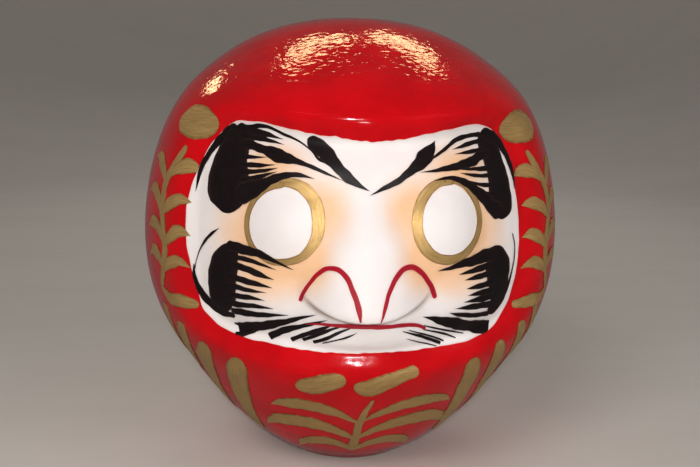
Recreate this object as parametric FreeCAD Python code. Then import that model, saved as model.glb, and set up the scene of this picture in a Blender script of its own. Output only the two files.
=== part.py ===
"""A papier-mache daruma doll on a clay foot, built as its separate pieces.

Units are millimetres. The origin is the middle of the foot, on the floor.
Z is up, the face looks along -Y and +X is to the right of someone facing the doll.
"""

import FreeCAD, Part
import math
import os

# ---- Overall shape --------------------------------------------------------
HEIGHT = 300.0
WIDTH = 284.0
DEPTH = 278.0
WAIST_HEIGHT = 156.0          # height of the widest ring
FOOT_DIAMETER = 86.0
CROWN_FULLNESS = 2.21         # 2 is an ellipse, more is boxier
BELLY_FULLNESS = 1.66         # below 2 the belly tapers to the foot
WAIST_BLEND = 0.4             # how far up and down the body is eased into an ellipse at the waist

# ---- Paper shells ---------------------------------------------------------
PAPER_WALL = 2.4
SHELL_BOTTOM = 7.0            # the shells start this far above the floor

# ---- Face opening, seen from the front ------------------------------------
FACE_HALF_WIDTH = 101.0
FACE_TOP_MIDDLE = 228.0       # the hood sags in the middle
FACE_TOP_RISE = 13.0          # how much higher the sag is at the corners
FACE_TOP_RISE_OUT = 86.0      # how far out from the middle that is
FACE_TOP_RISE_LIMIT = 1.4     # further out it levels off at this many times the rise
FACE_BOTTOM_MIDDLE = 103.5
FACE_BOTTOM_CORNER = 109.0
FACE_BOTTOM_CORNER_OUT = 75.0
FACE_SQUARENESS = 4.5
FACE_CORE = 0.7               # this much of the opening is simply sunken
CREASE_SOFTNESS = 2.0
CREASE_REACH = 20.0           # how far inside the edge the crease is felt

# ---- Rims round the sunken face: crest outside, ramp up to it and fade ----
FACE_DEPTH = 6.0
HOOD_RIM = {"crest": 7.0, "ramp": 9.0, "fade": 42.0}
SIDE_RIM = {"crest": 1.5, "ramp": 16.0, "fade": 20.0}
BELLY_RIM = {"crest": 4.0, "ramp": 18.0, "fade": 45.0}
RIM_CLEAR_OF_SEAM = 30.0      # the relief has died away this far ahead of the seam

# ---- Nose -----------------------------------------------------------------
NOSE_HEIGHT = 17.0
NOSE_TOP = 204.0
NOSE_TIP = 134.0
NOSE_WING = 140.0
NOSE_BOTTOM = 124.0
NOSE_BRIDGE_HALF_WIDTH = 12.0
NOSE_HALF_WIDTH = 42.0
NOSE_RISE = 1.3
NOSE_ROUNDNESS = 1.4
NOSE_UNDERCUT = 7.0

# ---- Soft mounds: out from the middle, height up, half sizes, how far proud
EYES = {"out": 48.0, "up": 178.0, "half_width": 28.0, "half_height": 32.0, "proud": 5.0}
BROWS = {"out": 42.0, "up": 212.0, "half_width": 42.0, "half_height": 17.0, "proud": 2.5}
CHEEKS = {"out": 66.0, "up": 134.0, "half_width": 30.0, "half_height": 26.0, "proud": 3.0}
CHIN = {"out": 0.0, "up": 111.0, "half_width": 52.0, "half_height": 11.0, "proud": 3.0}

# ---- Paper strips pasted inside over the seam -----------------------------
STRIP_THICKNESS = 0.7
STRIP_PASTE = 0.2             # paste between a strip and the shell
STRIP_HALF_WIDTH = 16.0       # how far a strip reaches each side of the seam
STRIP_LENGTH = 36.0
STRIP_GAP = 6.0
CROWN_STRIPS = 3

# ---- Clay foot ------------------------------------------------------------
WEIGHT_TOP = 20.0
WEIGHT_TOP_ROUND = 3.0
GLUE_GAP = 1.5
FOOT_ROUND = 1.5
STICK_HOLE_DIAMETER = 12.0
PAPER_DISC_DIAMETER = 44.0
PAPER_DISC_THICKNESS = 0.6
PAPER_DISC_CLEARANCE = 1.0

# ---- How finely the moulded surfaces are drawn ----------------------------
FRONT_LINES = 97
BACK_LINES = 49
TILE_LINES = 12
PATCH_REACH = math.radians(100.0)
OUTSIDE = 1000.0

# ---- Values that follow ---------------------------------------------------
half_width = WIDTH / 2
half_depth = DEPTH / 2
foot_radius = FOOT_DIAMETER / 2
crown_reach = HEIGHT - WAIST_HEIGHT
foot_share = (1 - (foot_radius / half_width) ** BELLY_FULLNESS) ** (1 / BELLY_FULLNESS)
belly_reach = WAIST_HEIGHT / foot_share


# ---- Small helpers --------------------------------------------------------
def ease(t):
    """0 below 0, 1 above 1 and a smooth rise between."""
    t = min(max(t, 0.0), 1.0)
    return t * t * (3 - 2 * t)


def mound(distance):
    """1 in the middle and a soft fall to 0 at distance 1."""
    if distance >= 1:
        return 0.0
    return (1 - distance * distance) ** 2


def soft_positive(value, softness):
    """The value where it is positive and 0 where it is not, with a rounded corner."""
    return (value + math.sqrt(value * value + softness * softness)) / 2


# ---- Outer surface --------------------------------------------------------
def body_radius(direction):
    """Distance from the middle of the waist to the plain body."""
    across = math.hypot(direction.x / half_width, direction.y / half_depth)
    if direction.z > 0:
        full = CROWN_FULLNESS
        up = direction.z / crown_reach
    else:
        full = BELLY_FULLNESS
        up = -direction.z / belly_reach
    fullness = 2 + (full - 2) * ease(up / (across + up) / WAIST_BLEND)
    return (across ** fullness + up ** fullness) ** (-1 / fullness)


def face_edges(x):
    """Top and bottom of the face opening at a distance x from the middle."""
    rise = (x / FACE_TOP_RISE_OUT) ** 2
    top = FACE_TOP_MIDDLE + FACE_TOP_RISE * rise / math.hypot(1, rise / FACE_TOP_RISE_LIMIT)
    rise = ease(abs(x) / FACE_BOTTOM_CORNER_OUT)
    bottom = FACE_BOTTOM_MIDDLE + (FACE_BOTTOM_CORNER - FACE_BOTTOM_MIDDLE) * rise
    return top, bottom


def rim_relief(x, z):
    """The sunken face, and the rolled rims of hood, sides and belly round it."""
    top, bottom = face_edges(x)
    middle = (FACE_TOP_MIDDLE + FACE_BOTTOM_MIDDLE) / 2
    above = z > middle
    reach_up = top - middle if above else middle - bottom
    side_share = (abs(x) / FACE_HALF_WIDTH) ** FACE_SQUARENESS
    upright_share = (abs(z - middle) / reach_up) ** FACE_SQUARENESS
    total = side_share + upright_share + 1e-9
    rim = {}
    upright_rim = HOOD_RIM if above else BELLY_RIM
    for name in SIDE_RIM:
        rim[name] = (SIDE_RIM[name] * side_share + upright_rim[name] * upright_share) / total
    scale = total ** (1 / FACE_SQUARENESS)
    beyond = -CREASE_REACH
    if scale > FACE_CORE:
        beyond = max(math.hypot(x, z - middle) * (1 - 1 / scale), -CREASE_REACH)
    beyond = soft_positive(beyond, CREASE_SOFTNESS) - soft_positive(-CREASE_REACH, CREASE_SOFTNESS)
    if beyond < rim["ramp"]:
        climb = math.sin(math.pi / 2 * beyond / rim["ramp"])
        return -FACE_DEPTH + (FACE_DEPTH + rim["crest"]) * climb
    return rim["crest"] * (1 - ease((beyond - rim["ramp"]) / rim["fade"]))


def nose_relief(x, z):
    """A ridge that widens downwards to the wings, cut off below by an arc."""
    drop = (NOSE_TOP - z) / (NOSE_TOP - NOSE_TIP)
    if drop <= 0 or abs(x) >= NOSE_HALF_WIDTH:
        return 0.0
    widening = ease((NOSE_TOP - z) / (NOSE_TOP - NOSE_WING))
    half = NOSE_BRIDGE_HALF_WIDTH + (NOSE_HALF_WIDTH - NOSE_BRIDGE_HALF_WIDTH) * widening
    if abs(x) >= half:
        return 0.0
    ridge = math.cos(math.pi / 2 * x / half) ** NOSE_ROUNDNESS
    underside = NOSE_BOTTOM + (NOSE_WING - NOSE_BOTTOM) * (x / NOSE_HALF_WIDTH) ** 2
    undercut = ease((z - underside) / NOSE_UNDERCUT)
    return NOSE_HEIGHT * min(drop, 1.0) ** NOSE_RISE * ridge * undercut


def mound_relief(shape, x, z):
    """A soft mound, and its mirror image when it stands off the middle."""
    across = (abs(x) - shape["out"]) / shape["half_width"]
    up = (z - shape["up"]) / shape["half_height"]
    return shape["proud"] * mound(math.hypot(across, up))


def relief(x, y, z):
    """How far the front stands proud of the plain body, along a line from its middle."""
    if y >= 0:
        return 0.0
    total = rim_relief(x, z) + nose_relief(x, z)
    for shape in (EYES, BROWS, CHEEKS, CHIN):
        total += mound_relief(shape, x, z)
    return total * ease(-y / RIM_CLEAR_OF_SEAM)


def outer_point(direction):
    """The point of the doll's outside in a direction from the middle of its waist."""
    direction = FreeCAD.Vector(direction).normalize()
    radius = body_radius(direction)
    middle = FreeCAD.Vector(0, 0, WAIST_HEIGHT)
    plain = middle + direction * radius
    return plain + direction * relief(plain.x, plain.y, plain.z)


def surface_point(direction, inward):
    """The outer point moved inward square to the surface."""
    direction = FreeCAD.Vector(direction).normalize()
    point = outer_point(direction)
    if inward == 0:
        return point
    helper = FreeCAD.Vector(0, 0, 1) if abs(direction.z) < 0.7 else FreeCAD.Vector(1, 0, 0)
    first = direction.cross(helper).normalize() * 0.008
    second = direction.cross(first).normalize() * 0.008
    along_first = outer_point(direction + first) - outer_point(direction - first)
    along_second = outer_point(direction + second) - outer_point(direction - second)
    normal = along_first.cross(along_second).normalize()
    if normal.dot(direction) < 0:
        normal = normal * -1
    return point - normal * inward


def moulded_face(facing, lines, inward):
    """One surface over a whole half, running on behind the seam plane."""
    rows = []
    for i in range(lines):
        row = []
        for j in range(lines):
            across = 2 * i / (lines - 1) - 1
            up = 2 * j / (lines - 1) - 1
            distance = math.hypot(across, up)
            angle = distance * PATCH_REACH
            side = math.sin(angle) / distance if distance > 0 else PATCH_REACH
            direction = FreeCAD.Vector(side * across, facing * math.cos(angle), side * up)
            row.append(surface_point(direction, inward))
        rows.append(row)
    surface = Part.BSplineSurface()
    surface.interpolate(rows)
    return tiled(surface, lines // TILE_LINES)


def tiled(surface, tiles):
    """The surface as a sewn sheet of smaller faces, which is measured more truly than one."""
    faces = []
    for i in range(tiles):
        for j in range(tiles):
            tile = surface.copy()
            tile.segment(i / tiles, (i + 1) / tiles, j / tiles, (j + 1) / tiles)
            faces.append(tile.toShape())
    sheet = Part.makeShell(faces)
    sheet.sewShape()
    return sheet


def split_half(facing, lines):
    """The paper wall of one half, and the hollow inside it, down to the shell's bottom."""
    block = Part.makeBox(2 * OUTSIDE, OUTSIDE, OUTSIDE)
    near = -OUTSIDE if facing < 0 else 0.0
    block.translate(FreeCAD.Vector(-OUTSIDE, near, SHELL_BOTTOM))
    outside = moulded_face(facing, lines, 0.0)
    inside = moulded_face(facing, lines, PAPER_WALL)
    pieces = block.generalFuse([outside, inside])[0].Solids
    ahead = FreeCAD.Vector(0, facing, 0)
    in_wall = surface_point(ahead, PAPER_WALL / 2)
    in_hollow = FreeCAD.Vector(0, facing, WAIST_HEIGHT)
    wall = [piece for piece in pieces if piece.isInside(in_wall, 0.01, True)]
    hollow = [piece for piece in pieces if piece.isInside(in_hollow, 0.01, True)]
    return wall[0], hollow[0]


# ---- Seam strips ----------------------------------------------------------
def seam_radius(angle):
    """Distance from the middle of the waist to the inside of the paper at the seam."""
    direction = FreeCAD.Vector(math.sin(angle), 0, math.cos(angle))
    return (surface_point(direction, PAPER_WALL) - FreeCAD.Vector(0, 0, WAIST_HEIGHT)).Length


def crown_angles(step):
    """Middles of the strips over the crown, as angles round the seam from straight up."""
    return [step * (index - (CROWN_STRIPS - 1) / 2) for index in range(CROWN_STRIPS)]


def side_angles(start, step):
    """Middles of the strips down one side, as many as end above the clay foot."""
    angles = []
    angle = start
    while angle < math.pi:
        lower_end = angle + STRIP_LENGTH / 2 / seam_radius(angle)
        if WAIST_HEIGHT + seam_radius(lower_end) * math.cos(lower_end) < WEIGHT_TOP + STRIP_GAP:
            break
        angles.append(angle)
        angle += step
    return angles


def strip_surface(angle, half_angle, half_across, inward):
    """A small patch under the seam, as its surface and its four corners."""
    rows = []
    for i in range(7):
        row = []
        for j in range(7):
            around = angle + half_angle * (i / 3 - 1)
            across = half_across * (j / 3 - 1)
            direction = FreeCAD.Vector(math.sin(around), math.tan(across), math.cos(around))
            row.append(surface_point(direction, inward))
        rows.append(row)
    surface = Part.BSplineSurface()
    surface.interpolate(rows)
    return surface


def seam_strip(angle):
    """One pasted strip: an outer and an inner face joined by four narrow ones."""
    radius = seam_radius(angle)
    half_angle = STRIP_LENGTH / 2 / radius
    half_across = STRIP_HALF_WIDTH / radius
    outer_inward = PAPER_WALL + STRIP_PASTE
    outer = strip_surface(angle, half_angle, half_across, outer_inward)
    inner = strip_surface(angle, half_angle, half_across, outer_inward + STRIP_THICKNESS)
    faces = [outer.toShape(), inner.toShape()]
    sides = [
        (outer.uIso(0.0), inner.uIso(0.0)),
        (outer.uIso(1.0), inner.uIso(1.0)),
        (outer.vIso(0.0), inner.vIso(0.0)),
        (outer.vIso(1.0), inner.vIso(1.0)),
    ]
    for outer_edge, inner_edge in sides:
        faces.append(Part.makeRuledSurface(outer_edge.toShape(), inner_edge.toShape()))
    shell = Part.makeShell(faces)
    shell.sewShape()
    solid = Part.makeSolid(shell)
    if solid.Volume < 0:
        solid.reverse()
    return solid


def seam_strips(angles):
    return Part.makeCompound([seam_strip(angle) for angle in angles])


# ---- Clay foot and what is glued to it ------------------------------------
def narrowest_radius(height, inward):
    """Distance from the axis to the paper's outside, or so far inward of it, at a height."""
    radii = []
    for side in (FreeCAD.Vector(1, 0, 0), FreeCAD.Vector(0, 1, 0)):
        low, high = 0.0, math.pi / 2
        for _ in range(40):
            tilt = (low + high) / 2
            direction = side * math.sin(tilt) - FreeCAD.Vector(0, 0, math.cos(tilt))
            point = surface_point(direction, inward)
            low, high = (tilt, high) if point.z < height else (low, tilt)
        radii.append(math.hypot(point.x, point.y))
    return min(radii)


def revolved(outline):
    """A solid of revolution about Z from points (radius, height)."""
    points = [FreeCAD.Vector(radius, 0, height) for radius, height in outline]
    wire = Part.makePolygon(points + points[:1])
    axis = FreeCAD.Vector(0, 0, 1)
    return Part.Face(wire).revolve(FreeCAD.Vector(0, 0, 0), axis, 360)


def clay_block():
    """The clay before its hole and recess: a rim under the shells and a plug inside them."""
    steps = 4
    plug_side = []
    for step in range(steps + 1):
        height = SHELL_BOTTOM + (WEIGHT_TOP - WEIGHT_TOP_ROUND - SHELL_BOTTOM) * step / steps
        plug_side.append((narrowest_radius(height, PAPER_WALL) - GLUE_GAP, height))
    rim = [
        (0.0, 0.0),
        (narrowest_radius(0.0, 0.0) - FOOT_ROUND, 0.0),
        (narrowest_radius(FOOT_ROUND, 0.0), FOOT_ROUND),
        (narrowest_radius(SHELL_BOTTOM, 0.0), SHELL_BOTTOM),
    ]
    closing = [
        (plug_side[-1][0] - WEIGHT_TOP_ROUND, WEIGHT_TOP),
        (0.0, WEIGHT_TOP),
    ]
    return revolved(rim + plug_side + closing)


def base_weight(clay):
    """The clay with its dipping-stick hole and the recess for the paper disc."""
    hole = Part.makeCylinder(STICK_HOLE_DIAMETER / 2, WEIGHT_TOP)
    recess_radius = PAPER_DISC_DIAMETER / 2 + PAPER_DISC_CLEARANCE
    recess = Part.makeCylinder(recess_radius, PAPER_DISC_THICKNESS)
    return clay.cut(hole).cut(recess)


def weight_glue(hollows, clay):
    """The glue that fills the gap between the clay plug and the shells."""
    reach = Part.makeCylinder(OUTSIDE, WEIGHT_TOP - WEIGHT_TOP_ROUND - SHELL_BOTTOM)
    reach.translate(FreeCAD.Vector(0, 0, SHELL_BOTTOM))
    parts = []
    for hollow in hollows:
        parts.extend(hollow.common(reach).cut(clay).Solids)
    return Part.makeCompound(parts)


def base_paper():
    """The paper disc pasted under the foot, over the stick hole and flush with the clay."""
    return Part.makeCylinder(PAPER_DISC_DIAMETER / 2, PAPER_DISC_THICKNESS)


# ---- The doll -------------------------------------------------------------
def doll():
    front, front_hollow = split_half(-1, FRONT_LINES)
    back, back_hollow = split_half(1, BACK_LINES)
    clay = clay_block()
    strip_step = (STRIP_LENGTH + STRIP_GAP) / half_width
    over_crown = crown_angles(strip_step)
    down_right = side_angles(over_crown[-1] + strip_step, strip_step)
    down_left = [-angle for angle in down_right]
    return {
        "front_shell": front,
        "back_shell": back,
        "seam_strips_crown": seam_strips(over_crown),
        "seam_strips_left": seam_strips(down_left),
        "seam_strips_right": seam_strips(down_right),
        "base_weight": base_weight(clay),
        "weight_glue": weight_glue([front_hollow, back_hollow], clay),
        "base_paper": base_paper(),
    }


os.makedirs("parts", exist_ok=True)
for name, shape in doll().items():
    shape.exportStep("parts/" + name + ".step")
    volume = shape.Volume / 1000
    print(name, "solids", len(shape.Solids), "cm3", round(volume, 2), "valid", shape.isValid())
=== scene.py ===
"""The finish of a papier-mache daruma doll: lacquered skin, painted face and brush strokes.

Metres. Z is up, the face looks along -Y, and the doll stands on the origin.
Brush strokes are laid out in millimetres across and up, because a brush works in millimetres.
"""

import math
import random

import bpy
import numpy as np
from mathutils import Matrix, Vector


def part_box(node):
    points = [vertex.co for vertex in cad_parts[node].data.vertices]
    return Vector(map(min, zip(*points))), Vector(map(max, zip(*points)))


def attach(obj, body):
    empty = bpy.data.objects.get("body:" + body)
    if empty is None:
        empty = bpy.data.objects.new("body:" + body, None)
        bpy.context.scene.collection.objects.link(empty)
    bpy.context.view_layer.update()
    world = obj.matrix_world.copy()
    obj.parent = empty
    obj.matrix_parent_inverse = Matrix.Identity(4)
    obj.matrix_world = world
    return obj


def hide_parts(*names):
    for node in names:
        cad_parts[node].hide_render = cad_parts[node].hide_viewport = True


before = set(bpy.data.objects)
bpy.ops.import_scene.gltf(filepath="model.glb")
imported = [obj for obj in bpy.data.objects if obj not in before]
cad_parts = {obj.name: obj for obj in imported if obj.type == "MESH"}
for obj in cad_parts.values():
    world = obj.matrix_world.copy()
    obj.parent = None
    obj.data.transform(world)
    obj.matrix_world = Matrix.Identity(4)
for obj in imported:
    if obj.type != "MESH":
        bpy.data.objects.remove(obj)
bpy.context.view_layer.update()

MM = 0.001

# ---- The plain body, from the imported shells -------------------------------
back_low, back_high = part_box("back_shell")
HEIGHT = back_high.z
HALF_WIDTH = back_high.x
HALF_DEPTH = back_high.y
SHELL_BOTTOM = back_low.z
WAIST_HEIGHT = 156 * MM
FOOT_RADIUS = 43 * MM
CROWN_FULLNESS = 2.21
BELLY_FULLNESS = 1.66
WAIST_BLEND = 0.4

# ---- The moulded front ----------------------------------------------------
FACE_HALF_WIDTH = 101 * MM
FACE_TOP_MIDDLE = 228 * MM
FACE_TOP_RISE = 13 * MM
FACE_TOP_RISE_OUT = 86 * MM
FACE_TOP_RISE_LIMIT = 1.4
FACE_BOTTOM_MIDDLE = 103.5 * MM
FACE_BOTTOM_CORNER = 109 * MM
FACE_BOTTOM_CORNER_OUT = 75 * MM
FACE_SQUARENESS = 4.5
FACE_CORE = 0.7
CREASE_SOFTNESS = 2 * MM
CREASE_REACH = 20 * MM
FACE_DEPTH = 6 * MM
HOOD_RIM = {"crest": 7 * MM, "ramp": 9 * MM, "fade": 42 * MM}
SIDE_RIM = {"crest": 1.5 * MM, "ramp": 16 * MM, "fade": 20 * MM}
BELLY_RIM = {"crest": 4 * MM, "ramp": 18 * MM, "fade": 45 * MM}
RIM_CLEAR_OF_SEAM = 30 * MM
NOSE_HEIGHT = 17 * MM
NOSE_TOP = 204 * MM
NOSE_TIP = 134 * MM
NOSE_WING = 140 * MM
NOSE_BOTTOM = 124 * MM
NOSE_BRIDGE_HALF_WIDTH = 12 * MM
NOSE_HALF_WIDTH = 42 * MM
NOSE_RISE = 1.3
NOSE_ROUNDNESS = 1.4
NOSE_UNDERCUT = 7 * MM
NOSE_FOLD_BULGE = 3.0            # 2 makes the arc a parabola; more makes it fuller
# out from the middle, up, half width, half height, how far proud
MOUNDS = {
    "eyes": (48 * MM, 178 * MM, 28 * MM, 32 * MM, 5 * MM),
    "brows": (42 * MM, 212 * MM, 42 * MM, 17 * MM, 2.5 * MM),
    "cheeks": (66 * MM, 134 * MM, 30 * MM, 26 * MM, 3 * MM),
    "chin": (0 * MM, 111 * MM, 52 * MM, 11 * MM, 3 * MM),
}

CROWN_REACH = HEIGHT - WAIST_HEIGHT
foot_share = (1 - (FOOT_RADIUS / HALF_WIDTH) ** BELLY_FULLNESS) ** (1 / BELLY_FULLNESS)
BELLY_REACH = WAIST_HEIGHT / foot_share


# ---- Surface of the doll --------------------------------------------------
def ease(t):
    t = np.clip(t, 0, 1)
    return t * t * (3 - 2 * t)


def soft_positive(value, softness):
    """The value where it is positive and 0 where it is not, with a rounded corner."""
    return (value + np.sqrt(value ** 2 + softness ** 2)) / 2


def body_radius(directions):
    """Distance from the middle of the waist to the plain body, for unit directions."""
    x, y, z = directions.T
    across = np.hypot(x / HALF_WIDTH, y / HALF_DEPTH)
    up = np.abs(z) / np.where(z > 0, CROWN_REACH, BELLY_REACH)
    full = np.where(z > 0, CROWN_FULLNESS, BELLY_FULLNESS)
    fullness = 2 + (full - 2) * ease(up / (across + up) / WAIST_BLEND)
    return (across ** fullness + up ** fullness) ** (-1 / fullness)


def rim_relief(x, z):
    """The sunken face, and the rolled rims of hood, sides and belly round it."""
    rise = (x / FACE_TOP_RISE_OUT) ** 2
    top = FACE_TOP_MIDDLE + FACE_TOP_RISE * rise / np.hypot(1, rise / FACE_TOP_RISE_LIMIT)
    rise = ease(np.abs(x) / FACE_BOTTOM_CORNER_OUT)
    bottom = FACE_BOTTOM_MIDDLE + (FACE_BOTTOM_CORNER - FACE_BOTTOM_MIDDLE) * rise
    middle = (FACE_TOP_MIDDLE + FACE_BOTTOM_MIDDLE) / 2
    above = z > middle
    reach_up = np.where(above, top - middle, middle - bottom)
    side_share = (np.abs(x) / FACE_HALF_WIDTH) ** FACE_SQUARENESS
    upright_share = (np.abs(z - middle) / reach_up) ** FACE_SQUARENESS
    total = side_share + upright_share + 1e-9
    rim = {}
    for name, side_value in SIDE_RIM.items():
        upright_value = np.where(above, HOOD_RIM[name], BELLY_RIM[name])
        rim[name] = (side_value * side_share + upright_value * upright_share) / total
    scale = total ** (1 / FACE_SQUARENESS)
    beyond = np.hypot(x, z - middle) * (1 - 1 / np.maximum(scale, FACE_CORE))
    beyond = np.where(scale > FACE_CORE, np.maximum(beyond, -CREASE_REACH), -CREASE_REACH)
    beyond = soft_positive(beyond, CREASE_SOFTNESS) - soft_positive(-CREASE_REACH, CREASE_SOFTNESS)
    climb = np.sin(math.pi / 2 * np.minimum(beyond / rim["ramp"], 1))
    ramp = -FACE_DEPTH + (FACE_DEPTH + rim["crest"]) * climb
    roll = rim["crest"] * (1 - ease((beyond - rim["ramp"]) / rim["fade"]))
    return np.where(beyond < rim["ramp"], ramp, roll)


def nose_underside(x):
    """The arc along which the nose and its wings stop above the mouth."""
    outward = np.abs(x / NOSE_HALF_WIDTH) ** NOSE_FOLD_BULGE
    return NOSE_BOTTOM + (NOSE_WING - NOSE_BOTTOM) * outward


def nose_relief(x, z):
    """A ridge that widens downwards to the wings, cut off below by an arc."""
    drop = np.clip((NOSE_TOP - z) / (NOSE_TOP - NOSE_TIP), 0, 1)
    widening = ease((NOSE_TOP - z) / (NOSE_TOP - NOSE_WING))
    half = NOSE_BRIDGE_HALF_WIDTH + (NOSE_HALF_WIDTH - NOSE_BRIDGE_HALF_WIDTH) * widening
    ridge = np.cos(math.pi / 2 * np.clip(x / half, -1, 1)) ** NOSE_ROUNDNESS
    undercut = ease((z - nose_underside(x)) / NOSE_UNDERCUT)
    return NOSE_HEIGHT * drop ** NOSE_RISE * ridge * undercut


def relief(x, y, z):
    """How far the front stands proud of the plain body."""
    total = rim_relief(x, z) + nose_relief(x, z)
    for out, up, half_width, half_height, proud in MOUNDS.values():
        away = np.hypot((np.abs(x) - out) / half_width, (z - up) / half_height)
        total = total + proud * np.clip(1 - away ** 2, 0, 1) ** 2
    return np.where(y < 0, total * ease(-y / RIM_CLEAR_OF_SEAM), 0)


def moulded_points(directions, proud=0.0):
    """Points of the doll's outside in the given directions, and so much further out."""
    directions = directions / np.linalg.norm(directions, axis=1)[:, None]
    radius = body_radius(directions)
    plain = directions * radius[:, None]
    out = radius + relief(plain[:, 0], plain[:, 1], plain[:, 2] + WAIST_HEIGHT) + proud
    points = directions * out[:, None]
    points[:, 2] += WAIST_HEIGHT
    return points


# ---- Mesh helpers ---------------------------------------------------------
def start_piece(name):
    bpy.ops.object.select_all(action="DESELECT")
    piece = bpy.context.active_object
    piece.name = name
    piece.data.name = name
    piece.select_set(True)
    return piece


def coordinates(piece):
    values = np.zeros(len(piece.data.vertices) * 3)
    piece.data.vertices.foreach_get("co", values)
    return values.reshape(-1, 3)


def place_vertices(piece, points):
    piece.data.vertices.foreach_set("co", points.astype(np.float32).ravel())
    piece.data.update()


# ---- Materials ------------------------------------------------------------
class Recipe:
    """A small bench for mixing one material or one shared effect out of nodes."""

    def __init__(self, tree):
        self.tree = tree

    def add(self, kind, inputs=None, **settings):
        made = self.tree.nodes.new(kind)
        for name, value in settings.items():
            setattr(made, name, value)
        for name, value in (inputs or {}).items():
            if isinstance(value, bpy.types.NodeSocket):
                self.tree.links.new(value, made.inputs[name])
            else:
                made.inputs[name].default_value = value
        return made

    def sum(self, operation, *values):
        inputs = dict(enumerate(values))
        return self.add("ShaderNodeMath", inputs, operation=operation).outputs[0]

    def stretch(self, vector, scale):
        inputs = {0: vector, 1: scale}
        return self.add("ShaderNodeVectorMath", inputs, operation="MULTIPLY").outputs[0]

    def noise(self, vector, scale, detail=3.0, roughness=0.55):
        inputs = {"Vector": vector, "Scale": scale, "Detail": detail, "Roughness": roughness}
        return self.add("ShaderNodeTexNoise", inputs).outputs["Fac"]

    def rise(self, value, start, end):
        inputs = {"Value": value, "From Min": start, "From Max": end}
        made = self.add("ShaderNodeMapRange", inputs, interpolation_type="SMOOTHSTEP")
        return made.outputs["Result"]

    def mix(self, share, first, second):
        made = self.add("ShaderNodeMix", data_type="RGBA")
        for place, value in ((0, share), (6, first), (7, second)):
            if isinstance(value, bpy.types.NodeSocket):
                self.tree.links.new(value, made.inputs[place])
            else:
                made.inputs[place].default_value = value
        return made.outputs[2]

    def bump(self, height, distance):
        inputs = {"Height": height, "Distance": distance}
        return self.add("ShaderNodeBump", inputs).outputs["Normal"]

    def shared(self, effect, **inputs):
        made = self.tree.nodes.new("ShaderNodeGroup")
        made.node_tree = effect
        for name, value in inputs.items():
            socket = made.inputs[name.replace("_", " ")]
            if isinstance(value, bpy.types.NodeSocket):
                self.tree.links.new(value, socket)
            else:
                socket.default_value = value
        return made.outputs


def shared_effect(name, inputs, outputs):
    effect = bpy.data.node_groups.new(name, "ShaderNodeTree")
    for label, kind in inputs.items():
        effect.interface.new_socket(label, in_out="INPUT", socket_type=kind)
    for label, kind in outputs.items():
        effect.interface.new_socket(label, in_out="OUTPUT", socket_type=kind)
    recipe = Recipe(effect)
    given = effect.nodes.new("NodeGroupInput").outputs
    result = effect.nodes.new("NodeGroupOutput").inputs
    return effect, recipe, given, result


def bristle_marks():
    """Streaks that brush bristles leave along the brush's way."""
    effect, recipe, given, result = shared_effect(
        "bristle_marks",
        {"Way": "NodeSocketVector", "Bristles": "NodeSocketFloat", "Drag": "NodeSocketFloat"},
        {"Streaks": "NodeSocketFloat"},
    )
    scale = recipe.add("ShaderNodeCombineXYZ", {"X": given["Drag"], "Y": given["Bristles"]})
    way = recipe.stretch(given["Way"], scale.outputs[0])
    fine = recipe.noise(way, 1.0, 4.0, 0.65)
    recipe.tree.links.new(recipe.rise(fine, 0.3, 0.7), result["Streaks"])
    return effect


def pasted_paper():
    """The unevenness of layered paper under a finish: broad dents, wrinkles and grain."""
    effect, recipe, given, result = shared_effect(
        "pasted_paper",
        {"Place": "NodeSocketVector", "Dents": "NodeSocketFloat", "Wrinkles": "NodeSocketFloat",
         "Grain": "NodeSocketFloat"},
        {"Height": "NodeSocketFloat", "Cloud": "NodeSocketFloat"},
    )
    broad = recipe.noise(given["Place"], 34.0, 2.0)
    middling = recipe.noise(given["Place"], 120.0, 3.0)
    laid = recipe.noise(recipe.stretch(given["Place"], (1.0, 1.0, 2.2)), 75.0, 2.5, 0.6)
    laid = recipe.sum("ABSOLUTE", recipe.sum("SUBTRACT", laid, 0.5))
    fine = recipe.noise(given["Place"], 900.0, 2.0)
    height = recipe.sum("MULTIPLY", recipe.sum("ADD", broad, recipe.sum("MULTIPLY", middling, 0.3)),
                        given["Dents"])
    height = recipe.sum("ADD", height, recipe.sum("MULTIPLY", laid, given["Wrinkles"]))
    height = recipe.sum("ADD", height, recipe.sum("MULTIPLY", fine, given["Grain"]))
    recipe.tree.links.new(height, result["Height"])
    recipe.tree.links.new(broad, result["Cloud"])
    return effect


BRISTLE_MARKS = bristle_marks()
PASTED_PAPER = pasted_paper()


def finish_of(name, roughness, **fixed):
    """A new material, its bench, its shader and where a point is on the doll."""
    material = bpy.data.materials.new(name)
    material.use_nodes = True
    shader = material.node_tree.nodes["Principled BSDF"]
    shader.inputs["Roughness"].default_value = roughness
    for label, value in fixed.items():
        shader.inputs[label.replace("_", " ")].default_value = value
    recipe = Recipe(material.node_tree)
    place = recipe.add("ShaderNodeTexCoord").outputs["Object"]
    return material, recipe, shader, place


def drive(recipe, shader, **sockets):
    for label, value in sockets.items():
        recipe.tree.links.new(value, shader.inputs[label.replace("_", " ")])


def brush_way(recipe):
    return recipe.add("ShaderNodeUVMap", uv_map="brush_way").outputs["UV"]


def mask(recipe, name):
    return recipe.add("ShaderNodeAttribute", attribute_name=name).outputs["Fac"]


PAPER_UNEVENNESS = 1.1 * MM
# From and to, as heights in metres.
CROWN_WRINKLES = (0.228, 0.27)
# Where the painted shade under the body begins, and where it is darkest.
FOOT_PAINTED_SHADE = (0.022, 0.007)
FOOT_BARE = (0.0042, 0.0028)


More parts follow.
